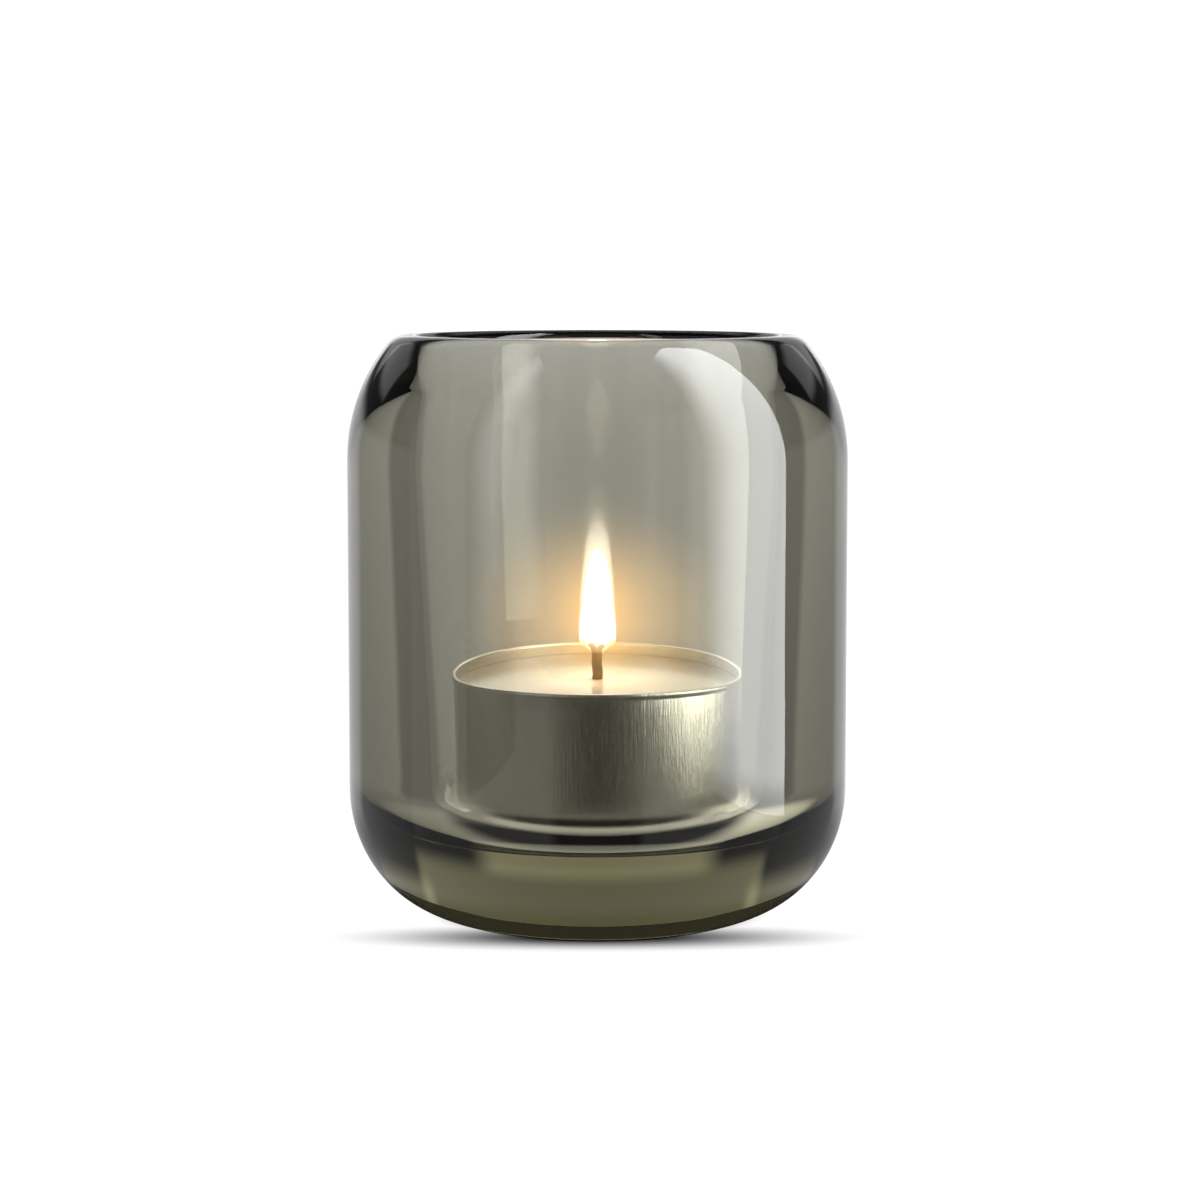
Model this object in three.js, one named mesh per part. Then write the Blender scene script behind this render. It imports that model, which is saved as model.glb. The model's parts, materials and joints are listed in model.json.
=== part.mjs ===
// Tealight holder: a thick smoked glass with a tealight candle standing in it.
// Millimetres, +Z up, origin at the centre of the glass's flat foot.
// Every piece is a solid of revolution, so each one is a closed profile of
// (radius, height) points that runs up the outside and down the inside.

import * as THREE from 'three';

// ---- Driving dimensions ----------------------------------------------------

// Glass, outside
const GLASS_HEIGHT = 75.6;
const FOOT_RADIUS = 18.5; // flat face that the glass stands on
const WAIST_RADIUS = 32.8; // widest, where the bottom corner meets the wall
const CORNER_HEIGHT = 16.4; // height of the rounded bottom corner
const SHOULDER_START_RADIUS = 32.6;
const SHOULDER_START_HEIGHT = 59.4;
const SHOULDER_ARC_RADIUS = 23.9;
const LIP_OUTER_ROUND = 2.95;

// Glass, inside
const FLOOR_THICKNESS = 12.1;
const FLOOR_FILLET = 5.8;
const BORE_RADIUS_LOW = 22.2; // just above the floor fillet
const BORE_RADIUS_HIGH = 24.4; // where the neck starts to close in
const NECK_START_HEIGHT = 67.5;
const MOUTH_RADIUS = 23.15; // narrowest place of the mouth
const LIP_INNER_ROUND = 1.1;

// Tealight
const FIT_GAP = 0.3; // air between pieces that touch each other
const CUP_HEIGHT = 19.4;
const CUP_RIM_RADIUS = 19.5;
const CUP_RADIUS_HIGH = 19.2; // wall just under the rolled bead
const CUP_RADIUS_LOW = 18.9; // wall just above the bottom corner
const CUP_CORNER_RADIUS = 4.6;
const CUP_SHEET = 0.3; // thickness of the pressed sheet
const BEAD_RADIUS = 0.3; // rolled bead along the rim
const WAX_BELOW_RIM = 1.7;
const WAX_EDGE_ROUND = 0.4;
const WICK_RADIUS = 0.8;
const WICK_ABOVE_WAX = 4.8;
const WICK_HEAD_RADIUS = 1.05; // flared, burnt tip
const WICK_HEAD_HEIGHT = 1.3;
const SUSTAINER_RADIUS = 6.3;
const SUSTAINER_SHEET = 0.3;
const SUSTAINER_NECK_WALL = 0.35;
const SUSTAINER_NECK_HEIGHT = 3.6;

// Fineness
const LATHE_STEPS = 60;
const WICK_STEPS = 16;
const LARGE_ARC_STEPS = 9;
const SMALL_ARC_STEPS = 5;

// ---- Derived heights and radii ---------------------------------------------

const CUP_BOTTOM = FLOOR_THICKNESS + FIT_GAP;
const CUP_TOP = CUP_BOTTOM + CUP_HEIGHT;
const CUP_FLOOR = CUP_BOTTOM + CUP_SHEET;
const WAX_TOP = CUP_TOP - WAX_BELOW_RIM;
const CANDLE_BOTTOM = CUP_FLOOR + FIT_GAP;
const WICK_TOP = WAX_TOP + WICK_ABOVE_WAX;
const WICK_HOLE_RADIUS = WICK_RADIUS + FIT_GAP;

// ---- Shape helpers ---------------------------------------------------------

const QUARTER_TURN = Math.PI / 2;

function point(radius, height) {
  return new THREE.Vector2(radius, height);
}

// Points along an elliptical arc, both ends included; angles in radians from +radius.
function arc(centre, radiusAcross, radiusUp, fromAngle, toAngle, steps) {
  const points = [];
  for (let step = 0; step <= steps; step += 1) {
    const angle = fromAngle + ((toAngle - fromAngle) * step) / steps;
    points.push(point(
      centre.x + radiusAcross * Math.cos(angle),
      centre.y + radiusUp * Math.sin(angle),
    ));
  }
  return points;
}

function roundArc(centre, radius, fromAngle, toAngle, steps) {
  return arc(centre, radius, radius, fromAngle, toAngle, steps);
}

// A named solid of revolution about the vertical axis.
function turned(name, profile, steps, material) {
  const geometry = new THREE.LatheGeometry(profile, steps);
  geometry.rotateX(QUARTER_TURN);
  const mesh = new THREE.Mesh(geometry, new THREE.MeshStandardMaterial(material));
  mesh.name = name;
  return mesh;
}

// ---- Glass -----------------------------------------------------------------

// Foot, elliptical bottom corner, slightly tapering wall, shoulder and lip.
function glassOutside() {
  const cornerCentre = point(FOOT_RADIUS, CORNER_HEIGHT);
  const corner = arc(
    cornerCentre,
    WAIST_RADIUS - FOOT_RADIUS,
    CORNER_HEIGHT,
    -QUARTER_TURN,
    0,
    LARGE_ARC_STEPS,
  );
  const shoulderCentre = point(
    SHOULDER_START_RADIUS - SHOULDER_ARC_RADIUS,
    SHOULDER_START_HEIGHT,
  );
  const lipReach = SHOULDER_ARC_RADIUS - LIP_OUTER_ROUND;
  const lipHeight = GLASS_HEIGHT - LIP_OUTER_ROUND;
  const shoulderSweep = Math.asin((lipHeight - SHOULDER_START_HEIGHT) / lipReach);
  const shoulder = roundArc(
    shoulderCentre,
    SHOULDER_ARC_RADIUS,
    0,
    shoulderSweep,
    LARGE_ARC_STEPS,
  );
  const lipCentre = point(shoulderCentre.x + lipReach * Math.cos(shoulderSweep), lipHeight);
  const lip = roundArc(
    lipCentre,
    LIP_OUTER_ROUND,
    shoulderSweep,
    QUARTER_TURN,
    SMALL_ARC_STEPS,
  ).slice(1);
  return [...corner, ...shoulder, ...lip];
}

// Inner lip, neck that opens out to the bore, tapering bore, floor fillet.
function glassInside() {
  const lipCentre = point(MOUTH_RADIUS + LIP_INNER_ROUND, GLASS_HEIGHT - LIP_INNER_ROUND);
  const across = lipCentre.x - BORE_RADIUS_HIGH;
  const up = lipCentre.y - NECK_START_HEIGHT;
  // Radius of the neck arc that is tangent to the bore's top and to the lip round.
  const neckRadius = (across ** 2 + up ** 2 - LIP_INNER_ROUND ** 2)
    / (2 * (LIP_INNER_ROUND - across));
  const neckSweep = Math.asin(up / (neckRadius + LIP_INNER_ROUND));
  const neckCentre = point(BORE_RADIUS_HIGH - neckRadius, NECK_START_HEIGHT);
  const lip = roundArc(
    lipCentre,
    LIP_INNER_ROUND,
    QUARTER_TURN,
    Math.PI + neckSweep,
    SMALL_ARC_STEPS,
  );
  const neck = roundArc(neckCentre, neckRadius, neckSweep, 0, LARGE_ARC_STEPS).slice(1);
  const filletCentre = point(BORE_RADIUS_LOW - FLOOR_FILLET, FLOOR_THICKNESS + FLOOR_FILLET);
  const fillet = roundArc(filletCentre, FLOOR_FILLET, 0, -QUARTER_TURN, LARGE_ARC_STEPS);
  return [...lip, ...neck, ...fillet];
}

function glassHolder() {
  const profile = [
    point(0, 0),
    ...glassOutside(),
    ...glassInside(),
    point(0, FLOOR_THICKNESS),
  ];
  return turned('glass_holder', profile, LATHE_STEPS, {
    color: 0x8d8c7b,
    roughness: 0.04,
    metalness: 0,
    transparent: true,
    opacity: 0.5,
  });
}

// ---- Tealight --------------------------------------------------------------

// Thin drawn cup: flat bottom, rounded corner, slight taper, rolled bead at the rim.
function candleCup() {
  const cornerHeight = CUP_BOTTOM + CUP_CORNER_RADIUS;
  const cornerCentre = point(CUP_RADIUS_LOW - CUP_CORNER_RADIUS, cornerHeight);
  const outerCorner = roundArc(
    cornerCentre,
    CUP_CORNER_RADIUS,
    -QUARTER_TURN,
    0,
    LARGE_ARC_STEPS,
  );
  const innerCorner = roundArc(
    cornerCentre,
    CUP_CORNER_RADIUS - CUP_SHEET,
    0,
    -QUARTER_TURN,
    LARGE_ARC_STEPS,
  );
  const beadCentre = point(CUP_RIM_RADIUS - BEAD_RADIUS, CUP_TOP - BEAD_RADIUS);
  const bead = roundArc(
    beadCentre,
    BEAD_RADIUS,
    -QUARTER_TURN,
    Math.PI,
    SMALL_ARC_STEPS + 1,
  );
  const underBead = CUP_TOP - 3 * BEAD_RADIUS;
  const profile = [
    point(0, CUP_BOTTOM),
    ...outerCorner,
    point(CUP_RADIUS_HIGH, underBead),
    ...bead,
    point(CUP_RADIUS_HIGH - CUP_SHEET, underBead),
    ...innerCorner,
    point(0, CUP_FLOOR),
  ];
  return turned('candle_cup', profile, LATHE_STEPS, {
    color: 0xb4b3ab,
    roughness: 0.35,
    metalness: 1,
  });
}

// Wax slug: it fills the cup around the sustainer and the wick.
function waxSlug() {
  const cornerRadius = CUP_CORNER_RADIUS - CUP_SHEET - FIT_GAP;
  const cornerCentre = point(CUP_RADIUS_LOW - CUP_CORNER_RADIUS, CUP_BOTTOM + CUP_CORNER_RADIUS);
  const corner = roundArc(cornerCentre, cornerRadius, -QUARTER_TURN, 0, LARGE_ARC_STEPS);
  const topRadius = CUP_RADIUS_HIGH - CUP_SHEET - FIT_GAP;
  const edgeCentre = point(topRadius - WAX_EDGE_ROUND, WAX_TOP - WAX_EDGE_ROUND);
  const edge = roundArc(edgeCentre, WAX_EDGE_ROUND, 0, QUARTER_TURN, SMALL_ARC_STEPS);
  const discRecessRadius = SUSTAINER_RADIUS + FIT_GAP;
  const discRecessTop = CANDLE_BOTTOM + SUSTAINER_SHEET + FIT_GAP;
  const neckRecessRadius = WICK_HOLE_RADIUS + SUSTAINER_NECK_WALL + FIT_GAP;
  const neckRecessTop = CANDLE_BOTTOM + SUSTAINER_NECK_HEIGHT + FIT_GAP;
  const profile = [
    point(discRecessRadius, CANDLE_BOTTOM),
    ...corner,
    ...edge,
    point(WICK_HOLE_RADIUS, WAX_TOP),
    point(WICK_HOLE_RADIUS, neckRecessTop),
    point(neckRecessRadius, neckRecessTop),
    point(neckRecessRadius, discRecessTop),
    point(discRecessRadius, discRecessTop),
    point(discRecessRadius, CANDLE_BOTTOM),
  ];
  return turned('wax', profile, LATHE_STEPS, {
    color: 0xe6dcc6,
    roughness: 0.3,
    metalness: 0,
  });
}

// Pressed disc with a neck that grips the foot of the wick.
function wickSustainer() {
  const neckRadius = WICK_HOLE_RADIUS + SUSTAINER_NECK_WALL;
  const discTop = CANDLE_BOTTOM + SUSTAINER_SHEET;
  const neckTop = CANDLE_BOTTOM + SUSTAINER_NECK_HEIGHT;
  const profile = [
    point(WICK_HOLE_RADIUS, CANDLE_BOTTOM),
    point(SUSTAINER_RADIUS, CANDLE_BOTTOM),
    point(SUSTAINER_RADIUS, discTop),
    point(neckRadius, discTop),
    point(neckRadius, neckTop),
    point(WICK_HOLE_RADIUS, neckTop),
    point(WICK_HOLE_RADIUS, CANDLE_BOTTOM),
  ];
  return turned('wick_sustainer', profile, LATHE_STEPS, {
    color: 0xa9a9a6,
    roughness: 0.4,
    metalness: 1,
  });
}

// Cotton wick from the sustainer's underside to its flared, burnt head.
function wick() {
  const headFoot = WICK_TOP - WICK_HEAD_HEIGHT;
  const headWaist = WICK_TOP - WICK_HEAD_HEIGHT / 2;
  const profile = [
    point(0, CANDLE_BOTTOM),
    point(WICK_RADIUS, CANDLE_BOTTOM),
    point(WICK_RADIUS, headFoot),
    point(WICK_HEAD_RADIUS, headWaist),
    point(WICK_RADIUS, WICK_TOP),
    point(0, WICK_TOP),
  ];
  return turned('wick', profile, WICK_STEPS, {
    color: 0x7a4a1c,
    roughness: 0.95,
    metalness: 0,
  });
}

// ---- Assembly --------------------------------------------------------------

const tealight = new THREE.Group();
tealight.add(candleCup(), waxSlug(), wickSustainer(), wick());

const tealightHolder = new THREE.Group();
tealightHolder.add(glassHolder(), tealight);

export default tealightHolder;
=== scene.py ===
"""Looks of the tealight holder: smoked glass, metal cup, molten wax, wick and flame.

Metres, +Z up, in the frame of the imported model. Every round piece is a profile of
(radius, height) points turned about the Z axis.
"""

import json
import math

import bpy
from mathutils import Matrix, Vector, noise

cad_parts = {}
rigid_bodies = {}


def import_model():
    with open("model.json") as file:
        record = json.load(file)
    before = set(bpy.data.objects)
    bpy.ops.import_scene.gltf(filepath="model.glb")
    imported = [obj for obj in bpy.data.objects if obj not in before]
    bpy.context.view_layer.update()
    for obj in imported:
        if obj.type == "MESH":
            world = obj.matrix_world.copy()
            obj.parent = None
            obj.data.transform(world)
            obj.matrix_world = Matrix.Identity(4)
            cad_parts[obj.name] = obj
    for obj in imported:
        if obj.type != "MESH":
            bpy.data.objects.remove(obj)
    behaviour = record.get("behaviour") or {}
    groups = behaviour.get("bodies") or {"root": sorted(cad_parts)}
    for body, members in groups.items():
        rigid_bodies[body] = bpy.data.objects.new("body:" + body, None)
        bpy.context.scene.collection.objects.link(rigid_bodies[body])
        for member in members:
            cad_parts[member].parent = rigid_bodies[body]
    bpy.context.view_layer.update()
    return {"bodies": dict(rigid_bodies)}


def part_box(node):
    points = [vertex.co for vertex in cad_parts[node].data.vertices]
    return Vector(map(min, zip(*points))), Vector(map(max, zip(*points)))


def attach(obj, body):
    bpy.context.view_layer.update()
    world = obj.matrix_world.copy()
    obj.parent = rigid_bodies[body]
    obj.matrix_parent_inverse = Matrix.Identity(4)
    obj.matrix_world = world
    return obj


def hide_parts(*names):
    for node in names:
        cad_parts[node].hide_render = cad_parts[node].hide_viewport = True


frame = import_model()

MM = 0.001
QUARTER = math.pi / 2

# ---- Sizes, from the frame -------------------------------------------------

_, glass_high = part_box("glass_holder")
cup_low, cup_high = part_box("candle_cup")
wax_low, wax_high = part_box("wax")
wick_low, wick_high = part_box("wick")
_, sustainer_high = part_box("wick_sustainer")

GLASS_HEIGHT = glass_high.z
WAIST_RADIUS = glass_high.x
CUP_RIM_RADIUS = cup_high.x
CUP_BOTTOM = cup_low.z
CUP_TOP = cup_high.z
WAX_TOP = wax_high.z
CANDLE_BOTTOM = wax_low.z
WICK_TOP = wick_high.z
SUSTAINER_RADIUS = sustainer_high.x
SUSTAINER_TOP = sustainer_high.z

# ---- Sizes of the finer shapes, in the same terms as the solids ------------

FOOT_RADIUS = 18.5 * MM
CORNER_HEIGHT = 16.4 * MM
SHOULDER_START_RADIUS = 32.6 * MM
SHOULDER_START_HEIGHT = 59.4 * MM
SHOULDER_ARC_RADIUS = 23.9 * MM
LIP_OUTER_ROUND = 2.95 * MM
FLOOR_THICKNESS = 12.1 * MM
FLOOR_FILLET = 5.8 * MM
BORE_RADIUS_LOW = 22.2 * MM
BORE_RADIUS_HIGH = 24.4 * MM
NECK_START_HEIGHT = 67.5 * MM
MOUTH_RADIUS = 23.15 * MM
LIP_INNER_ROUND = 1.1 * MM

CUP_RADIUS_HIGH = 19.2 * MM
CUP_RADIUS_LOW = 18.9 * MM
CUP_CORNER_RADIUS = 4.6 * MM
CUP_SHEET = 0.2 * MM
BEAD_RADIUS = 0.3 * MM
CRIMP_DEPTH = 1.6 * MM
TIN_SHEET = 0.28 * MM
TIN_NECK_WALL = 0.3 * MM
TIN_ROOT_ROUND = 0.5 * MM
TIN_RIDGE_PLACE = 4.1 * MM
TIN_RIDGE_ROUND = 0.42 * MM
TIN_RIDGE_SINK = 0.25 * MM
TIN_RIDGE_START = 0.64  # radians
PINCH_START = 1.2 * MM
PINCH_BITE = 0.06 * MM
PINCH_FADE = 0.8 * MM
WAX_GAP = 0.12 * MM
WAX_BASE_GAP = 0.1 * MM
WAX_CLIMB = 0.15 * MM
WAX_CLIMB_REACH = 0.8 * MM
WICK_RADIUS = 0.8 * MM
FLAME_FOOT = WICK_TOP - 1.9 * MM
FLAME_HEIGHT = 14.2 * MM
FLAME_RADIUS = 2.45 * MM
GLOW_MIDDLE = FLAME_FOOT + 0.38 * FLAME_HEIGHT
LAMP_HEIGHT = FLAME_FOOT + 0.35 * FLAME_HEIGHT
VEIL_TOP = WICK_TOP + 18.0 * MM
VEIL_FADE_START = VEIL_TOP - 9 * MM


# ---- Looks, light and stage ------------------------------------------------

# The glass absorbs (1 - colour) * density of the light per metre.
GLASS_COLOUR = (0.48, 0.47, 0.372, 1)
GLASS_DENSITY = 110.0
GLASS_IOR = 1.5
GLASS_WAVES = 55.0  # waves per metre
CUP_COLOUR = (0.94, 0.92, 0.85, 1)
CUP_ROUGHNESS = (0.09, 0.20)
DRAW_LINES = (60.0, 160.0, 1.0)  # per radian round the cup and per metre of height
WAX_DARK = (0.78, 0.74, 0.66, 1)
WAX_LIGHT = (0.85, 0.81, 0.74, 1)
WAX_SCATTER = 2.5 * MM
WAX_SCATTER_SHARES = (1.0, 0.62, 0.36)  # red, green and blue
WAX_CLOUDS = 220.0
TIN_COLOUR = (0.62, 0.62, 0.61, 1)
TIN_ROUGHNESS = (0.25, 0.50)
TIN_GRAIN = 1800.0
WICK_FOOT = (0.16, 0.05, 0.006, 1)
WICK_MIDDLE = (0.006, 0.002, 0.001, 1)
WICK_TIP = (0.10, 0.03, 0.003, 1)
WICK_SOOT = 900.0

FLAME_GLOW = 5.0
FLAME_LOW = (1.0, 0.55, 0.20, 1)
FLAME_HIGH = (1.0, 0.93, 0.78, 1)
VEIL_GLOW = 400.0
VEIL_TIP_SHARE = 0.25
VEIL_COLOUR = (1.0, 0.93, 0.80, 1)
NEAR_GLOW = 64.0
NEAR_COLOUR = (1.0, 0.42, 0.04)
NEAR_SIZE = (9 * MM, 11 * MM)
FAR_GLOW = 42.0
FAR_COLOUR = (1.0, 0.60, 0.20)
FAR_SIZE = (22 * MM, 18 * MM)
FLAME_LAMP = 0.0038  # watts
LAMP_COLOUR = (1.0, 0.72, 0.46)

FLOOR_RADIUS = 90 * MM
FLOOR_FADE_RADIUS = 42 * MM
FLOOR_LEVEL = -0.05 * MM
FLOOR_GLOW = 1.02
FLOOR_TONE = 0.04
# Painted light and shade of the floor as the glass shows it, and where its zones begin and end:
# painted shadow at the front of the foot, painted light at the right, behind and under the
# foot.
FLOOR_FRONT = 0.4
FLOOR_SHADED = 0.05
FRONT_OPENS = (27 * MM, 38 * MM)
FLOOR_BACK = 1.15
TOWARDS_BACK = (-15 * MM, -5 * MM)
FLOOR_RIGHT = 3.4
TOWARDS_RIGHT = (8 * MM, 30 * MM)
FLOOR_FAR = 0.7
FAR_OUT = (34 * MM, 52 * MM)
FLOOR_UNDER = 0.62
FOOT_EDGE = (15.5 * MM, FOOT_RADIUS)
# Painted reflection of the floor in the glass, with a painted shade near the foot.
FLOOR_MIRRORED_GLOW = 0.4
MIRRORED_SHADE_OPENS = (27 * MM, 33 * MM)
# The painted soft shadow at the foot: the floor's glow is dimmed there.
SHADE_MIDDLE = -17.8 * MM
SHADE_WIDE = 38 * MM
SHADE_DEEP = 8 * MM
SHADE_CORE = 0.15
SHADE_ROUND = (16 * MM, 24 * MM)

STUDIO_WHITE = 1.06
ROOM_GLOW = 0.06
MIRRORED_SHARE = 0.15
# Each panel: bearings, elevations, softness of the two, all in degrees, and brightness.
TOP_PANEL = ((-50, 50), (42, 78), (14, 12), 3.4)
BACK_STRIP = ((-15, 15), (5, 10), (6, 3), 5.6)
BACK_PANEL = ((-29, 33), (13, 24), (3, 4), 3.3)
RIGHT_WING = ((33, 52), (17, 26), (3, 4), 3.3)
LEFT_WING = ((-52, -29), (17, 26), (3, 4), 3.3)
SIDE_SWEEP = ((-80, 80), (-80, 3), (14, 4), 0.38)
BACKDROP = ((-36, 36), (-80, 5), (8, 4), 0.40)
RIGHT_FRONT_FILL = ((90, 157), (-60, 30), (6, 4), 0.40)
LEFT_FRONT_FILL = ((-157, -90), (-60, 30), (6, 4), 0.40)

CARD_TOP = 0.32
CARD_COLOUR = (0.96, 0.98, 1.0, 1)
RIGHT_CARD_X = 0.098
RIGHT_CARD_BACK = -0.018
RIGHT_CARD_FULL = -0.058
RIGHT_CARD_FRONT = -0.112
RIGHT_CARD_GLOW = 8.2
RIGHT_CARD_RISE = 8 * MM
RIGHT_CARD_FOOT = 0.4
LEFT_CARD_X = -0.10
LEFT_CARD_BACK = -0.075
LEFT_CARD_MIDDLE = -0.105
LEFT_CARD_FRONT = -0.150
LEFT_CARD_GLOW = 2.2
LEFT_CARD_RISE = (8 * MM, 60 * MM)

CAMERA_LENS = 77.7
CAMERA_TILT = 7.31  # degrees below level
CAMERA_PLACE = (0.33 * MM, -338.3 * MM, CUP_TOP + 52.4 * MM)


# ---- Mesh helpers ----------------------------------------------------------


def arc(centre, across, up, start, end, steps):
    """Points of an elliptical arc in the (radius, height) plane, both ends included."""
    points = []
    for step in range(steps + 1):
        angle = start + (end - start) * step / steps
        points.append((centre[0] + across * math.cos(angle), centre[1] + up * math.sin(angle)))
    return points


def round_arc(centre, radius, start, end, steps):
    return arc(centre, radius, radius, start, end, steps)


def line(start, end, steps):
    """Points from start to end, without the two ends."""
    return [
        (
            start[0] + (end[0] - start[0]) * step / steps,
            start[1] + (end[1] - start[1]) * step / steps,
        )
        for step in range(1, steps)
    ]


def add_mesh(name, vertices, faces):
    mesh = bpy.data.meshes.new(name)
    mesh.from_pydata(vertices, [], faces)
    mesh.validate()
    mesh.polygons.foreach_set("use_smooth", [True] * len(mesh.polygons))
    piece = bpy.data.objects.new(name, mesh)
    bpy.context.scene.collection.objects.link(piece)
    return piece


def turned(name, profile, steps, shift=None):
    """A closed solid of revolution. shift(angle, radius, height) moves points off the round."""
    vertices = []
    rings = []
    for radius, height in profile:
        if radius < 1e-7:
            rings.append([len(vertices)])
            vertices.append((0.0, 0.0, height))
            continue
        ring = []
        for step in range(steps):
            angle = 2 * math.pi * step / steps
            r, z = shift(angle, radius, height) if shift else (radius, height)
            ring.append(len(vertices))
            vertices.append((r * math.cos(angle), r * math.sin(angle), z))
        rings.append(ring)
    faces = []
    for low, high in zip(rings, rings[1:]):
        for step in range(steps):
            after = (step + 1) % steps
            if len(low) == 1 and len(high) == 1:
                continue
            if len(low) == 1:
                faces.append((low[0], high[after], high[step]))
            elif len(high) == 1:
                faces.append((low[step], low[after], high[0]))
            else:
                faces.append((low[step], low[after], high[after], high[step]))
    return add_mesh(name, vertices, faces)


# ---- Node helpers ----------------------------------------------------------


def new_material(name):
    material = bpy.data.materials.new(name)
    material.use_nodes = True
    tree = material.node_tree
    tree.nodes.clear()
    output = tree.nodes.new("ShaderNodeOutputMaterial")
    return material, tree, output


def add_node(tree, kind, **values):
    node = tree.nodes.new(kind)
    for name, value in values.items():
        setattr(node, name, value)
    return node


def put(tree, node, socket, value):
    """Sets a socket to a number or colour, or links another node's output to it."""
    if isinstance(value, bpy.types.NodeSocket):
        tree.links.new(value, node.inputs[socket])
    else:
        node.inputs[socket].default_value = value


def object_place(tree):
    """Place in the object's own coordinates, which are the frame's at rest."""
    return add_node(tree, "ShaderNodeTexCoord").outputs["Object"]


def split_place(tree, place):
    split = add_node(tree, "ShaderNodeSeparateXYZ")
    put(tree, split, "Vector", place)
    return split.outputs["X"], split.outputs["Y"], split.outputs["Z"]


def length_of(tree, vector):
    length = add_node(tree, "ShaderNodeVectorMath", operation="LENGTH")
    put(tree, length, 0, vector)
    return length.outputs["Value"]


def principled(tree, output, sockets):
    """Gives the material a Principled surface with these sockets set."""
    surface = add_node(tree, "ShaderNodeBsdfPrincipled")
    for socket, value in sockets.items():
        put(tree, surface, socket, value)
    tree.links.new(surface.outputs["BSDF"], output.inputs["Surface"])


def texture(tree, place, scale, detail):
    """Noise that varies with place."""
    pattern = add_node(tree, "ShaderNodeTexNoise")
    put(tree, pattern, "Vector", place)
    put(tree, pattern, "Scale", scale)
    put(tree, pattern, "Detail", detail)
    return pattern


def relief(tree, height, strength, distance):
    """Surface direction of a fine relief that the mesh is too coarse for."""
    bump = add_node(tree, "ShaderNodeBump")
    put(tree, bump, "Height", height)
    put(tree, bump, "Strength", strength)
    put(tree, bump, "Distance", distance)
    return bump.outputs["Normal"]


def ramp_along(tree, value, start, end, low, high):
    """Smooth change from low at start to high at end."""
    change = add_node(tree, "ShaderNodeMapRange", interpolation_type="SMOOTHSTEP")
    put(tree, change, "Value", value)
    put(tree, change, "From Min", start)
    put(tree, change, "From Max", end)
    put(tree, change, "To Min", low)
    put(tree, change, "To Max", high)
    return change.outputs["Result"]


def combine(tree, operation, first, second):
    node = add_node(tree, "ShaderNodeMath", operation=operation)
    put(tree, node, 0, first)
    put(tree, node, 1, second)
    return node.outputs["Value"]


def mix_values(tree, share, first, second):
    """first where share is 0, second where it is 1."""
    mix = add_node(tree, "ShaderNodeMix", data_type="FLOAT")
    put(tree, mix, 0, share)
    put(tree, mix, 2, first)
    put(tree, mix, 3, second)
    return mix.outputs[0]


# ---- Glass -----------------------------------------------------------------


def glass_profile():
    corner = arc(
        (FOOT_RADIUS, CORNER_HEIGHT), WAIST_RADIUS - FOOT_RADIUS, CORNER_HEIGHT, -QUARTER, 0, 28
    )
    shoulder_centre = (SHOULDER_START_RADIUS - SHOULDER_ARC_RADIUS, SHOULDER_START_HEIGHT)
    lip_reach = SHOULDER_ARC_RADIUS - LIP_OUTER_ROUND
    lip_height = GLASS_HEIGHT - LIP_OUTER_ROUND
    sweep = math.asin((lip_height - SHOULDER_START_HEIGHT) / lip_reach)
    shoulder = round_arc(shoulder_centre, SHOULDER_ARC_RADIUS, 0, sweep, 22)
    lip_centre = (shoulder_centre[0] + lip_reach * math.cos(sweep), lip_height)
    lip = round_arc(lip_centre, LIP_OUTER_ROUND, sweep, QUARTER, 12)[1:]
    wall = line(corner[-1], shoulder[0], 6)

    inner_lip_centre = (MOUTH_RADIUS + LIP_INNER_ROUND, GLASS_HEIGHT - LIP_INNER_ROUND)
    over = inner_lip_centre[0] - BORE_RADIUS_HIGH
    up = inner_lip_centre[1] - NECK_START_HEIGHT
    neck_radius = (over**2 + up**2 - LIP_INNER_ROUND**2) / (2 * (LIP_INNER_ROUND - over))
    neck_sweep = math.asin(up / (neck_radius + LIP_INNER_ROUND))
    neck_centre = (BORE_RADIUS_HIGH - neck_radius, NECK_START_HEIGHT)
    inner_lip = round_arc(inner_lip_centre, LIP_INNER_ROUND, QUARTER, math.pi + neck_sweep, 12)
    neck = round_arc(neck_centre, neck_radius, neck_sweep, 0, 18)[1:]
    fillet_centre = (BORE_RADIUS_LOW - FLOOR_FILLET, FLOOR_THICKNESS + FLOOR_FILLET)
    fillet = round_arc(fillet_centre, FLOOR_FILLET, 0, -QUARTER, 20)
    bore = line(neck[-1], fillet[0], 6)
    return [
        (0.0, 0.0),
        *corner,
        *wall,
        *shoulder,
        *lip,
        *inner_lip,
        *neck,
        *bore,
        *fillet,
        (0.0, FLOOR_THICKNESS),
    ]


def smoked_glass():
    material, tree, output = new_material("smoked_glass_look")
    waves = texture(tree, object_place(tree), GLASS_WAVES, 1.0)
    principled(
        tree,
        output,
        {
            "Base Color": (1, 1, 1, 1),
            "Roughness": 0.0,
            "IOR": GLASS_IOR,
            "Transmission Weight": 1.0,
            "Normal": relief(tree, waves.outputs["Fac"], 0.05, 1.0 * MM),
        },
    )
    tint = add_node(tree, "ShaderNodeVolumeAbsorption")
    put(tree, tint, "Color", GLASS_COLOUR)
    put(tree, tint, "Density", GLASS_DENSITY)
    tree.links.new(tint.outputs["Volume"], output.inputs["Volume"])
    return material


def make_glass():
    glass = turned("glass_body", glass_profile(), 256)
    glass.data.materials.append(smoked_glass())
    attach(glass, "holder")
    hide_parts("glass_holder")


# ---- Tealight cup ----------------------------------------------------------


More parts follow.
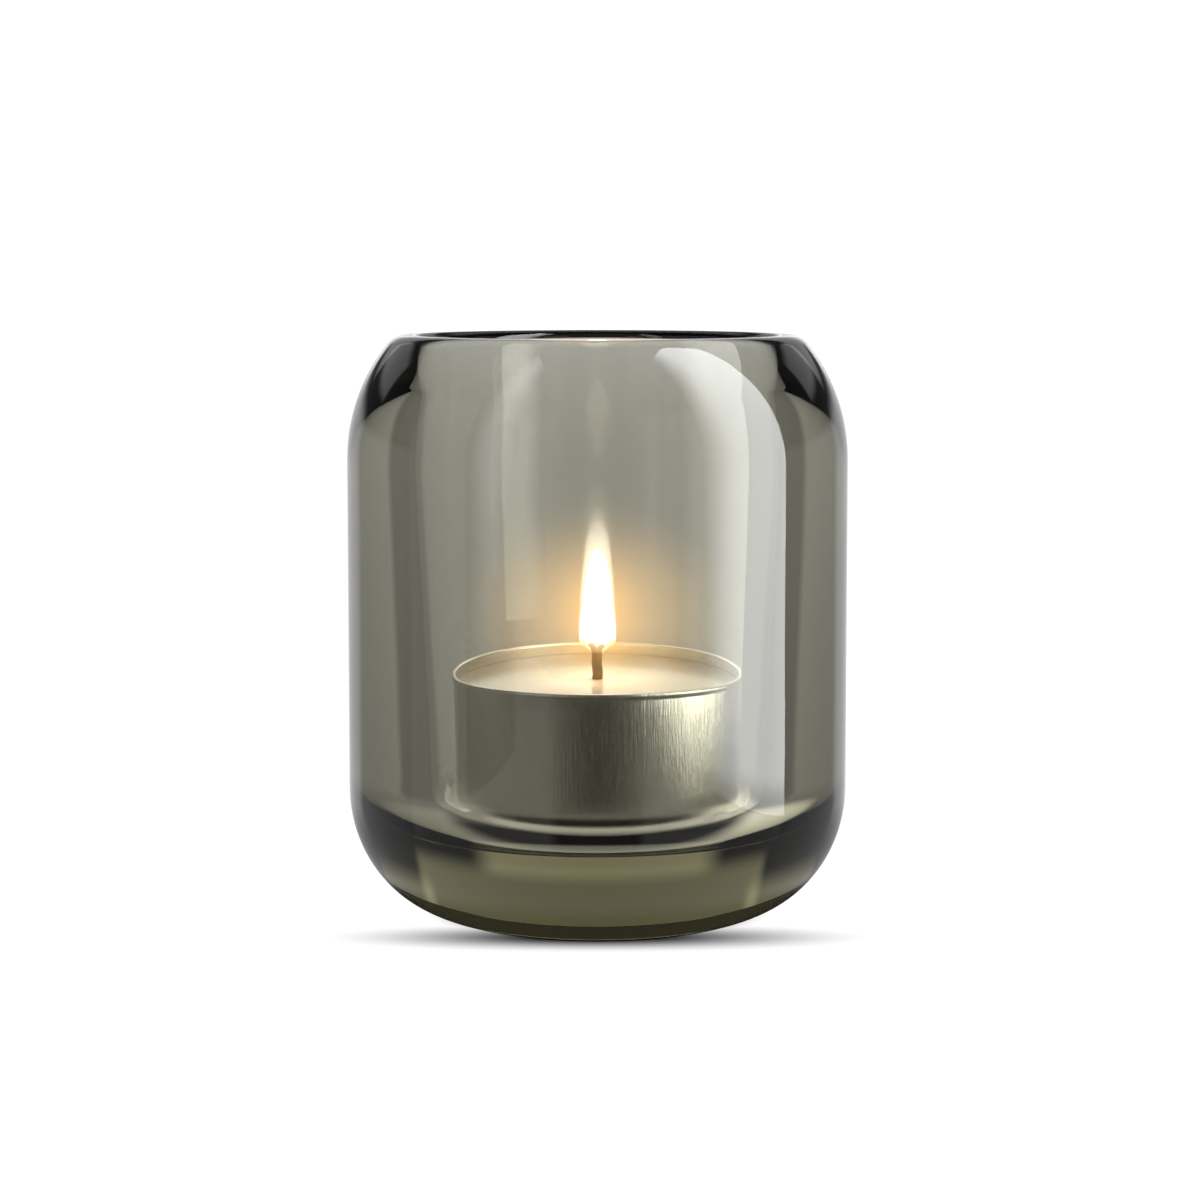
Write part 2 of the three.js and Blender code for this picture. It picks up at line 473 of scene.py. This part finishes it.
def cup_profile():
    corner_centre = (CUP_RADIUS_LOW - CUP_CORNER_RADIUS, CUP_BOTTOM + CUP_CORNER_RADIUS)
    outer = round_arc(corner_centre, CUP_CORNER_RADIUS, -QUARTER, 0, 20)
    inner = round_arc(corner_centre, CUP_CORNER_RADIUS - CUP_SHEET, 0, -QUARTER, 20)
    bead_centre = (CUP_RIM_RADIUS - BEAD_RADIUS, CUP_TOP - BEAD_RADIUS)
    bead = round_arc(bead_centre, BEAD_RADIUS, -QUARTER, math.pi, 18)
    under_bead = CUP_TOP - 3 * BEAD_RADIUS
    outer_top = (CUP_RADIUS_HIGH, under_bead)
    inner_top = (CUP_RADIUS_HIGH - CUP_SHEET, under_bead)
    return [
        (0.0, CUP_BOTTOM),
        *outer,
        *line(outer[-1], outer_top, 12),
        outer_top,
        *bead,
        inner_top,
        *line(inner_top, inner[0], 6),
        *inner,
        (0.0, CUP_BOTTOM + CUP_SHEET),
    ]


def cup_metal():
    material, tree, output = new_material("drawn_aluminium")
    x, y, z = split_place(tree, object_place(tree))
    unrolled = add_node(tree, "ShaderNodeCombineXYZ")
    put(tree, unrolled, "X", combine(tree, "ARCTAN2", y, x))
    put(tree, unrolled, "Y", z)
    stretch = add_node(tree, "ShaderNodeMapping")
    put(tree, stretch, "Vector", unrolled.outputs["Vector"])
    put(tree, stretch, "Scale", DRAW_LINES)
    lines = texture(tree, stretch.outputs["Vector"], 1.0, 6.0)
    put(tree, lines, "Roughness", 0.7)
    rough = add_node(tree, "ShaderNodeMapRange")
    put(tree, rough, "Value", lines.outputs["Fac"])
    put(tree, rough, "To Min", CUP_ROUGHNESS[0])
    put(tree, rough, "To Max", CUP_ROUGHNESS[1])
    principled(
        tree,
        output,
        {
            "Base Color": CUP_COLOUR,
            "Metallic": 1.0,
            "Roughness": rough.outputs["Result"],
            "Normal": relief(tree, lines.outputs["Fac"], 0.9, 0.08 * MM),
        },
    )
    return material


def crimped(angle, radius, height):
    """Small uneven ripples of the rolled rim and a faint dent or two in the thin wall."""
    wave = noise.noise(Vector((math.cos(angle) * 22, math.sin(angle) * 22, 0.5)))
    slow = noise.noise(Vector((math.cos(angle) * 2, math.sin(angle) * 2, height / (9 * MM))))
    near_rim = max(0.0, 1 - (CUP_TOP - height) / CRIMP_DEPTH)
    inward = (0.05 + 0.05 * wave) * near_rim * MM + (0.03 + 0.04 * slow) * MM
    return radius - inward, height


def make_cup():
    cup = turned("cup_shell", cup_profile(), 384, crimped)
    cup.data.materials.append(cup_metal())
    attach(cup, "cup")
    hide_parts("candle_cup")


# ---- Wax -------------------------------------------------------------------


def wax_material():
    material, tree, output = new_material("molten_wax")
    clouds = texture(tree, object_place(tree), WAX_CLOUDS, 3.0)
    tone = add_node(tree, "ShaderNodeMix", data_type="RGBA")
    put(tree, tone, 0, clouds.outputs["Fac"])
    put(tree, tone, 6, WAX_DARK)
    put(tree, tone, 7, WAX_LIGHT)
    principled(
        tree,
        output,
        {
            "Base Color": tone.outputs[2],
            "Roughness": 0.32,
            "IOR": 1.44,
            "Subsurface Weight": 1.0,
            "Subsurface Radius": WAX_SCATTER_SHARES,
            "Subsurface Scale": WAX_SCATTER,
            "Coat Weight": 0.25,
            "Coat Roughness": 0.06,
            "Normal": relief(tree, clouds.outputs["Fac"], 0.06, 0.4 * MM),
        },
    )
    return material


def wax_top(wall):
    """Liquid surface that climbs a little at the cup's wall and at the wick."""
    top = []
    steps = 40
    for step in range(steps + 1):
        radius = wall + (WICK_RADIUS * 1.02 - wall) * step / steps
        at_wall = math.exp((radius - wall) / WAX_CLIMB_REACH)
        at_wick = math.exp((WICK_RADIUS - radius) / WAX_CLIMB_REACH)
        top.append((radius, WAX_TOP + WAX_CLIMB * (at_wall + at_wick - 0.3)))
    return top


def make_wax():
    wall = CUP_RADIUS_HIGH - CUP_SHEET - WAX_GAP
    gap = CUP_SHEET + WAX_BASE_GAP
    base = CUP_BOTTOM + gap
    corner_centre = (CUP_RADIUS_LOW - CUP_CORNER_RADIUS, CUP_BOTTOM + CUP_CORNER_RADIUS)
    corner = round_arc(corner_centre, CUP_CORNER_RADIUS - gap, -QUARTER, 0, 12)
    recess = SUSTAINER_RADIUS + 0.2 * MM
    shelf = base + 0.6 * MM
    hub = WICK_RADIUS + 0.95 * MM
    neck_top = SUSTAINER_TOP + 0.1 * MM
    profile = [
        (0.0, neck_top),
        (hub, neck_top),
        (hub, shelf),
        (recess, shelf),
        (recess, base),
        *corner,
        *wax_top(wall),
        (0.0, WAX_TOP),
    ]
    wax = turned("wax_pool", profile, 160)
    wax.data.materials.append(wax_material())
    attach(wax, "candle")
    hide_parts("wax")


# ---- Wick sustainer --------------------------------------------------------


def tinned_sheet():
    material, tree, output = new_material("tinned_sheet")
    grain = texture(tree, object_place(tree), TIN_GRAIN, 4.0)
    rough = add_node(tree, "ShaderNodeMapRange")
    put(tree, rough, "Value", grain.outputs["Fac"])
    put(tree, rough, "To Min", TIN_ROUGHNESS[0])
    put(tree, rough, "To Max", TIN_ROUGHNESS[1])
    principled(
        tree,
        output,
        {
            "Base Color": TIN_COLOUR,
            "Metallic": 1.0,
            "Roughness": rough.outputs["Result"],
            "Normal": relief(tree, grain.outputs["Fac"], 0.2, 0.05 * MM),
        },
    )
    return material


def sustainer_profile():
    """Pressed disc: turned-up edge, stiffening ridge, and a neck crimped on the wick."""
    foot = CANDLE_BOTTOM
    face = foot + TIN_SHEET
    neck = WICK_RADIUS + 0.1 * MM
    lip_round = TIN_NECK_WALL / 2
    root_centre = (neck + TIN_NECK_WALL + TIN_ROOT_ROUND, face + TIN_ROOT_ROUND)
    edge_centre = (SUSTAINER_RADIUS - TIN_SHEET / 2, foot + TIN_SHEET / 2)
    edge = round_arc(edge_centre, TIN_SHEET / 2, -QUARTER, QUARTER, 8)
    ridge_centre = (TIN_RIDGE_PLACE, face - TIN_RIDGE_SINK)
    ridge_end = math.pi - TIN_RIDGE_START
    ridge = round_arc(ridge_centre, TIN_RIDGE_ROUND, TIN_RIDGE_START, ridge_end, 8)
    root = round_arc(root_centre, TIN_ROOT_ROUND, -QUARTER, -math.pi, 8)
    lip = round_arc((neck + lip_round, SUSTAINER_TOP - lip_round), lip_round, 0, math.pi, 8)
    return [(neck, foot), *edge, *ridge, *root, *lip, (neck, foot)]


def pinched(angle, radius, height):
    """Four small crimps that hold the wick in the neck."""
    over = height - (CANDLE_BOTTOM + PINCH_START)
    if over < 0 or radius > WICK_RADIUS + 2 * TIN_NECK_WALL:
        return radius, height
    bite = PINCH_BITE * max(0.0, math.cos(4 * angle)) * min(1.0, over / PINCH_FADE)
    return radius - bite, height


def make_sustainer():
    disc = turned("sustainer_disc", sustainer_profile(), 96, pinched)
    disc.data.materials.append(tinned_sheet())
    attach(disc, "candle")
    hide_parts("wick_sustainer")


# ---- Wick ------------------------------------------------------------------

BRAID_STRANDS = 6
BRAID_PITCH = 2.4 * MM
STALK_RADIUS = 0.74 * MM
STALK_END = WICK_TOP - 0.95 * MM
STALK_LEAN = 0.15 * MM
CURL_START = WICK_TOP - 1.25 * MM
CURL_RADIUS = 0.52 * MM
CURL_TIP_RADIUS = 0.32 * MM
CURL_OFFSET = 0.1 * MM
CURL_SWEEP = 2.2


def braid_radius(angle, along, radius):
    """Two sets of strands that wind in opposite directions round the wick."""
    turn = 2 * math.pi * along / BRAID_PITCH
    right = math.cos(BRAID_STRANDS / 2 * angle + turn)
    left = math.cos(BRAID_STRANDS / 2 * angle - turn)
    fuzz = noise.noise(Vector((math.cos(angle) * 2, math.sin(angle) * 2, along / (0.5 * MM))))
    return radius * (0.9 + 0.1 * max(right, left) + 0.07 * fuzz)


def tube(path, radii, sides, vertices, faces):
    """Adds a closed braided tube along path, with a flat cap at each end."""
    first = len(vertices)
    along = 0.0
    for step, centre in enumerate(path):
        before = path[max(step - 1, 0)]
        after = path[min(step + 1, len(path) - 1)]
        forward = (after - before).normalized()
        side = forward.cross(Vector((0.0, 1.0, 0.0))).normalized()
        other = forward.cross(side)
        along += (centre - before).length
        for corner in range(sides):
            angle = 2 * math.pi * corner / sides
            spoke = side * math.cos(angle) + other * math.sin(angle)
            vertices.append(centre + spoke * braid_radius(angle, along, radii[step]))
    for step in range(len(path) - 1):
        low = first + step * sides
        for corner in range(sides):
            after = (corner + 1) % sides
            faces.append((low + corner, low + after, low + sides + after, low + sides + corner))
    last = first + (len(path) - 1) * sides
    faces.append(tuple(reversed(range(first, first + sides))))
    faces.append(tuple(range(last, last + sides)))


def stalk():
    """Centre line and radii of the wick's straight part, which leans a little."""
    path = []
    steps = 60
    for step in range(steps + 1):
        height = wick_low.z + (STALK_END - wick_low.z) * step / steps
        bare = max(0.0, (height - WAX_TOP) / (STALK_END - WAX_TOP))
        path.append(Vector((-STALK_LEAN * bare**2, 0.0, height)))
    return path, [STALK_RADIUS] * len(path)


def curl(direction, reach, rise):
    """Centre line and radii of one burnt tip that curls out of the top of the wick."""
    path = []
    radii = []
    steps = 14
    for step in range(steps + 1):
        share = step / steps
        out = reach * math.sin(share * QUARTER) * direction - STALK_LEAN
        up = CURL_START + rise * math.sin(share * CURL_SWEEP)
        path.append(Vector((out, CURL_OFFSET * direction, up)))
        radii.append(CURL_RADIUS - (CURL_RADIUS - CURL_TIP_RADIUS) * share)
    return path, radii


def burnt_cotton():
    material, tree, output = new_material("burnt_cotton")
    place = object_place(tree)
    height = add_node(tree, "ShaderNodeMapRange")
    put(tree, height, "Value", split_place(tree, place)[2])
    put(tree, height, "From Min", WAX_TOP)
    put(tree, height, "From Max", WICK_TOP)
    soot = texture(tree, place, WICK_SOOT, 5.0)
    mottled = add_node(tree, "ShaderNodeMath", operation="MULTIPLY_ADD")
    put(tree, mottled, 0, soot.outputs["Fac"])
    put(tree, mottled, 1, 0.5)
    put(tree, mottled, 2, height.outputs["Result"])
    ramp = add_node(tree, "ShaderNodeValToRGB")
    put(tree, ramp, "Fac", mottled.outputs["Value"])
    ramp.color_ramp.elements[0].position = 0.25
    ramp.color_ramp.elements[0].color = WICK_FOOT
    ramp.color_ramp.elements[1].position = 1.0
    ramp.color_ramp.elements[1].color = WICK_TIP
    middle = ramp.color_ramp.elements.new(0.6)
    middle.color = WICK_MIDDLE
    principled(
        tree,
        output,
        {
            "Base Color": ramp.outputs["Color"],
            "Roughness": 0.55,
            "Coat Weight": 0.4,
            "Coat Roughness": 0.25,
            "Normal": relief(tree, soot.outputs["Fac"], 0.6, 0.1 * MM),
        },
    )
    return material


def make_wick():
    vertices = []
    faces = []
    tube(*stalk(), 40, vertices, faces)
    tube(*curl(-1, 0.75 * MM, 1.0 * MM), 24, vertices, faces)
    tube(*curl(1, 0.85 * MM, 0.85 * MM), 24, vertices, faces)
    wick = add_mesh("braided_wick", vertices, faces)
    wick.data.materials.append(burnt_cotton())
    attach(wick, "candle")
    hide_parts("wick")


# ---- Flame -----------------------------------------------------------------


def flame_profile(foot, height, girth):
    """Teardrop: broad just above its foot, long even taper, slender tip."""
    widest = 0.2
    tip_start = 0.72
    steps = 48
    profile = [(0.0, foot)]
    for step in range(1, steps):
        share = step / steps
        body = math.sin(min(share / widest, 1.0) * QUARTER) ** 0.6
        taper = 1 - 0.55 * max(0.0, (share - widest) / (1 - widest)) ** 1.15
        tip = math.sqrt(1 - max(0.0, (share - tip_start) / (1 - tip_start)) ** 2)
        profile.append((girth * body * taper * tip, foot + height * share))
    return [*profile, (0.0, foot + height)]


def leaning(foot, height, lean):
    def shift(angle, radius, z):
        share = (z - foot) / height
        return radius * (1 + lean * math.cos(angle) * share), z
    return shift


def by_height(tree, low, high):
    """0 at height low and 1 at height high, in the object's own coordinates."""
    height = split_place(tree, object_place(tree))[2]
    return ramp_along(tree, height, low, high, 0.0, 1.0)


def flame_light():
    """White-hot inside, orange and clear at its foot, where the wick shows through."""
    material, tree, output = new_material("flame_core")
    ramp = add_node(tree, "ShaderNodeValToRGB")
    put(tree, ramp, "Fac", by_height(tree, WICK_TOP - 1.0 * MM, WICK_TOP + 2.5 * MM))
    ramp.color_ramp.elements[0].position = 0.0
    ramp.color_ramp.elements[0].color = FLAME_LOW
    ramp.color_ramp.elements[1].position = 1.0
    ramp.color_ramp.elements[1].color = FLAME_HIGH
    glow = add_node(tree, "ShaderNodeEmission")
    put(tree, glow, "Color", ramp.outputs["Color"])
    put(tree, glow, "Strength", FLAME_GLOW)
    clear = add_node(tree, "ShaderNodeBsdfTransparent")
    body = add_node(tree, "ShaderNodeMixShader")
    side = add_node(tree, "ShaderNodeNewGeometry")
    front = by_height(tree, WICK_TOP, WICK_TOP + 2.2 * MM)
    back = by_height(tree, WICK_TOP - 1.3 * MM, WICK_TOP + 2.0 * MM)
    put(tree, body, 0, mix_values(tree, side.outputs["Backfacing"], front, back))
    tree.links.new(clear.outputs["BSDF"], body.inputs[1])
    tree.links.new(glow.outputs["Emission"], body.inputs[2])
    tree.links.new(body.outputs["Shader"], output.inputs["Surface"])
    return material


def make_flame():
    profile = flame_profile(FLAME_FOOT, FLAME_HEIGHT, FLAME_RADIUS)
    lean = leaning(FLAME_FOOT, FLAME_HEIGHT, 0.06)
    flame = turned("flame_core", profile, 64, lean)
    flame.data.materials.append(flame_light())
    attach(flame, "candle")


def veil_glow():
    """Pale clear mantle that reaches above the bright core."""
    material, tree, output = new_material("flame_veil")
    glow = add_node(tree, "ShaderNodeEmission")
    put(tree, glow, "Color", VEIL_COLOUR)
    strength = add_node(tree, "ShaderNodeMapRange")
    put(tree, strength, "Value", by_height(tree, VEIL_FADE_START, VEIL_TOP))
    put(tree, strength, "To Min", VEIL_GLOW)
    put(tree, strength, "To Max", VEIL_TIP_SHARE * VEIL_GLOW)
    put(tree, glow, "Strength", strength.outputs["Result"])
    tree.links.new(glow.outputs["Emission"], output.inputs["Volume"])
    return material


def make_veil():
    foot = FLAME_FOOT + 0.3 * MM
    profile = flame_profile(foot, VEIL_TOP - foot, FLAME_RADIUS + 0.1 * MM)
    veil = turned("flame_veil", profile, 64)
    veil.data.materials.append(veil_glow())
    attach(veil, "candle")


def haze(name, colour, strength, centre_z, size):
    """Ball of painted light in the air that fades out from its middle, for the glow round the
    flame.
    """
    across, up = size
    ball = turned(name, arc((0.0, centre_z), across, up, -QUARTER, QUARTER, 24), 48)
    material, tree, output = new_material(name)
    centred = add_node(tree, "ShaderNodeMapping", vector_type="POINT")
    put(tree, centred, "Vector", object_place(tree))
    put(tree, centred, "Location", (0.0, 0.0, -centre_z / up))
    put(tree, centred, "Scale", (1 / across, 1 / across, 1 / up))
    fade = add_node(tree, "ShaderNodeMapRange", interpolation_type="SMOOTHERSTEP")
    put(tree, fade, "Value", length_of(tree, centred.outputs["Vector"]))
    put(tree, fade, "From Min", 0.0)
    put(tree, fade, "From Max", 1.0)
    put(tree, fade, "To Min", strength)
    put(tree, fade, "To Max", 0.0)
    glow = add_node(tree, "ShaderNodeEmission")
    put(tree, glow, "Color", (*colour, 1))
    put(tree, glow, "Strength", fade.outputs["Result"])
    tree.links.new(glow.outputs["Emission"], output.inputs["Volume"])
    ball.data.materials.append(material)
    ball.parent = frame["bodies"]["candle"]
    ball.visible_shadow = False


def make_glow():
    haze("near_glow", NEAR_COLOUR, NEAR_GLOW, GLOW_MIDDLE, NEAR_SIZE)
    haze("far_glow", FAR_COLOUR, FAR_GLOW, GLOW_MIDDLE, FAR_SIZE)


def make_flame_lamp():
    """The light that the flame throws on the wax, the wick and the inside of the cup."""
    lamp = bpy.data.lights.new("flame_lamp", "POINT")
    lamp.energy = FLAME_LAMP
    lamp.color = LAMP_COLOUR
    lamp.shadow_soft_size = 1.6 * MM
    placed = bpy.data.objects.new("flame_lamp", lamp)
    bpy.context.scene.collection.objects.link(placed)
    placed.location = (0.0, 0.0, LAMP_HEIGHT)
    placed.parent = frame["bodies"]["candle"]
    placed.visible_camera = False
    placed.visible_transmission = False
    placed.visible_glossy = False


# ---- Stage and light -------------------------------------------------------


def seen_floor(tree, place):
    """Pale floor with a painted soft shadow: its glow is dimmed in a flat ellipse where the
    front of the foot touches it and in a ring round the foot.
    """
    flatten = add_node(tree, "ShaderNodeMapping")
    put(tree, flatten, "Vector", place)
    put(tree, flatten, "Location", (0.0, -SHADE_MIDDLE / SHADE_DEEP, 0.0))
    put(tree, flatten, "Scale", (1 / SHADE_WIDE, 1 / SHADE_DEEP, 1.0))
    from_middle = length_of(tree, flatten.outputs["Vector"])
    flat = ramp_along(tree, from_middle, SHADE_CORE, 1.0, 0.0, FLOOR_GLOW)
    round_shade = ramp_along(tree, length_of(tree, place), *SHADE_ROUND, 0.0, FLOOR_GLOW)
    paint = add_node(tree, "ShaderNodeBsdfDiffuse")
    put(tree, paint, "Color", (FLOOR_TONE, FLOOR_TONE, FLOOR_TONE, 1))
    glow = add_node(tree, "ShaderNodeEmission")
    # painted shadow: the floor's glow is dimmed near the foot
    put(tree, glow, "Strength", combine(tree, "MINIMUM", flat, round_shade))
    both = add_node(tree, "ShaderNodeAddShader")
    tree.links.new(paint.outputs["BSDF"], both.inputs[0])
    tree.links.new(glow.outputs["Emission"], both.inputs[1])
    return both.outputs["Shader"]


def refracted_floor(tree, place, distance):
    """The floor through the glass, as painted light and shade: a painted shadow in front of the
    foot, painted light at the right and behind, and a painted pool of light under the foot.
    """
    x, y, _ = split_place(tree, place)
    front = ramp_along(tree, distance, *FRONT_OPENS, FLOOR_SHADED * FLOOR_FRONT, FLOOR_FRONT)
    near = ramp_along(tree, x, *TOWARDS_RIGHT, FLOOR_BACK, FLOOR_RIGHT)
    back = mix_values(tree, ramp_along(tree, distance, *FAR_OUT, 0.0, 1.0), near, FLOOR_FAR)
    behind = ramp_along(tree, y, *TOWARDS_BACK, 0.0, 1.0)
    # painted pool of light under the foot
    under = ramp_along(tree, distance, *FOOT_EDGE, FLOOR_UNDER, 0.0)
    return combine(tree, "ADD", mix_values(tree, behind, front, back), under)


def floor_in_glass(tree, place, distance, refracted):
    """What the glass shows of the floor, through it and on its surface.

    On its surface, the floor is an even painted grey, darkened by a painted shade at the foot.
    """
    mirrored = ramp_along(tree, distance, *MIRRORED_SHADE_OPENS, 0.0, FLOOR_MIRRORED_GLOW)
    through = refracted_floor(tree, place, distance)
    glow = add_node(tree, "ShaderNodeEmission")
    put(tree, glow, "Strength", mix_values(tree, refracted, mirrored, through))
    return glow.outputs["Emission"]


def floor_material():
    material, tree, output = new_material("pale_floor")
    place = object_place(tree)
    distance = length_of(tree, place)
    path = add_node(tree, "ShaderNodeLightPath")
    either = add_node(tree, "ShaderNodeMixShader")
    put(tree, either, 0, path.outputs["Is Camera Ray"])
    in_glass = floor_in_glass(tree, place, distance, path.outputs["Is Transmission Ray"])
    tree.links.new(in_glass, either.inputs[1])
    tree.links.new(seen_floor(tree, place), either.inputs[2])
    clear = add_node(tree, "ShaderNodeBsdfTransparent")
    edge = add_node(tree, "ShaderNodeMixShader")
    put(tree, edge, 0, ramp_along(tree, distance, FLOOR_FADE_RADIUS, FLOOR_RADIUS, 0.0, 1.0))
    tree.links.new(either.outputs["Shader"], edge.inputs[1])
    tree.links.new(clear.outputs["BSDF"], edge.inputs[2])
    tree.links.new(edge.outputs["Shader"], output.inputs["Surface"])
    return material


def make_floor():
    profile = [(FLOOR_RADIUS * step / 8, FLOOR_LEVEL) for step in range(9)]
    floor = turned("floor", profile, 128)
    floor.data.materials.append(floor_material())


def window(tree, value, low, high, soft):
    """1 between low and high degrees, fading to 0 over soft degrees outside them."""
    low, high, soft = math.radians(low), math.radians(high), math.radians(soft)
    rise = ramp_along(tree, value, low - soft, low, 0.0, 1.0)
    fall = ramp_along(tree, value, high, high + soft, 1.0, 0.0)
    return combine(tree, "MULTIPLY", rise, fall)


def panel(tree, bearing, elevation, shape, below):
    """Adds one of the soft panels of light to what is below it."""
    around, between, soft, strength = shape
    across = window(tree, bearing, *around, soft[0])
    up = window(tree, elevation, *between, soft[1])
    added = add_node(tree, "ShaderNodeMath", operation="MULTIPLY_ADD")
    put(tree, added, 0, combine(tree, "MULTIPLY", across, up))
    put(tree, added, 1, strength)
    put(tree, added, 2, below)
    return added.outputs["Value"]


def studio_glow(tree, full):
    """Brightness of the studio by direction: bearing 0 is behind the glass, 90 its right.

    The panels behind are at full strength only where full is 1. Mirror reflections see
    them dimmed, so that they don't glare on the rim.
    """
    direction = add_node(tree, "ShaderNodeTexCoord").outputs["Generated"]
    x, y, z = split_place(tree, direction)
    bearing = combine(tree, "ARCTAN2", x, y)
    lift = add_node(tree, "ShaderNodeMath", operation="ARCSINE")
    put(tree, lift, 0, z)
    elevation = lift.outputs["Value"]
    behind = 0.0
    for shape in (TOP_PANEL, BACK_STRIP, BACK_PANEL, RIGHT_WING, LEFT_WING):
        behind = panel(tree, bearing, elevation, shape, behind)
    glow = ROOM_GLOW
    for shape in (SIDE_SWEEP, BACKDROP, RIGHT_FRONT_FILL, LEFT_FRONT_FILL):
        glow = panel(tree, bearing, elevation, shape, glow)
    share = ramp_along(tree, full, 0.0, 1.0, MIRRORED_SHARE, 1.0)
    return combine(tree, "ADD", glow, combine(tree, "MULTIPLY", behind, share))


def make_world():
    world = bpy.data.worlds.new("studio")
    bpy.context.scene.world = world
    world.use_nodes = True
    tree = world.node_tree
    tree.nodes.clear()
    output = tree.nodes.new("ShaderNodeOutputWorld")
    seen = tree.nodes.new("ShaderNodeBackground")
    put(tree, seen, "Strength", STUDIO_WHITE)
    put(tree, seen, "Color", (1, 1, 1, 1))
    path = tree.nodes.new("ShaderNodeLightPath")
    lights = tree.nodes.new("ShaderNodeBackground")
    put(tree, lights, "Color", (1, 1, 1, 1))
    refracted = path.outputs["Is Transmission Ray"]
    scattered = path.outputs["Is Diffuse Ray"]
    full = combine(tree, "MAXIMUM", refracted, scattered)
    put(tree, lights, "Strength", studio_glow(tree, full))
    either = tree.nodes.new("ShaderNodeMixShader")
    put(tree, either, 0, path.outputs["Is Camera Ray"])
    tree.links.new(lights.outputs["Background"], either.inputs[1])
    tree.links.new(seen.outputs["Background"], either.inputs[2])
    tree.links.new(either.outputs["Shader"], output.inputs["Surface"])


def light_card(name, start, end, bottom, top, strength):
    """Upright light from start to end, both (x, y), as bright as strength(tree, y, z)."""
    corners = [(*start, bottom), (*end, bottom), (*end, top), (*start, top)]
    card_mesh = bpy.data.meshes.new(name)
    card_mesh.from_pydata(corners, [], [(0, 1, 2, 3)])
    card = bpy.data.objects.new(name, card_mesh)
    bpy.context.scene.collection.objects.link(card)
    material, tree, output = new_material(name)
    _, y, z = split_place(tree, object_place(tree))
    glow = add_node(tree, "ShaderNodeEmission")
    put(tree, glow, "Color", CARD_COLOUR)
    put(tree, glow, "Strength", strength(tree, y, z))
    tree.links.new(glow.outputs["Emission"], output.inputs["Surface"])
    card.data.materials.append(material)
    card.visible_camera = False
    card.visible_diffuse = False


def right_strength(tree, y, z):
    rise = ramp_along(tree, y, RIGHT_CARD_FRONT, RIGHT_CARD_FULL, 0.0, RIGHT_CARD_GLOW)
    foot = ramp_along(tree, z, 0.0, RIGHT_CARD_RISE, RIGHT_CARD_FOOT, 1.0)
    return combine(tree, "MULTIPLY", rise, foot)


def left_strength(tree, y, z):
    rise = ramp_along(tree, y, LEFT_CARD_FRONT, LEFT_CARD_MIDDLE, 0.0, LEFT_CARD_GLOW)
    fall = ramp_along(tree, y, LEFT_CARD_MIDDLE, LEFT_CARD_BACK, 1.0, 0.0)
    foot = ramp_along(tree, z, *LEFT_CARD_RISE, 0.0, 1.0)
    return combine(tree, "MULTIPLY", combine(tree, "MULTIPLY", rise, fall), foot)


def make_light_cards():
    right_start = (RIGHT_CARD_X, RIGHT_CARD_FRONT)
    right_end = (RIGHT_CARD_X, RIGHT_CARD_BACK)
    light_card("right_card", right_start, right_end, 0.0, CARD_TOP, right_strength)
    left_start = (LEFT_CARD_X, LEFT_CARD_FRONT)
    left_end = (LEFT_CARD_X, LEFT_CARD_BACK)
    light_card("left_card", left_start, left_end, 0.0, CARD_TOP, left_strength)


def make_camera():
    camera = bpy.data.cameras.new("camera")
    camera.lens = CAMERA_LENS
    camera.sensor_width = 36.0
    camera.clip_start = 0.01
    placed = bpy.data.objects.new("camera", camera)
    bpy.context.scene.collection.objects.link(placed)
    placed.location = CAMERA_PLACE
    placed.rotation_euler = (math.radians(90 - CAMERA_TILT), 0, 0)
    bpy.context.scene.camera = placed


bpy.context.scene.view_settings.view_transform = "Standard"
make_camera()
make_world()
make_light_cards()
make_floor()
make_glass()
make_cup()
make_wax()
make_sustainer()
make_wick()
make_flame()
make_veil()
make_glow()
make_flame_lamp()

bpy.context.view_layer.update()
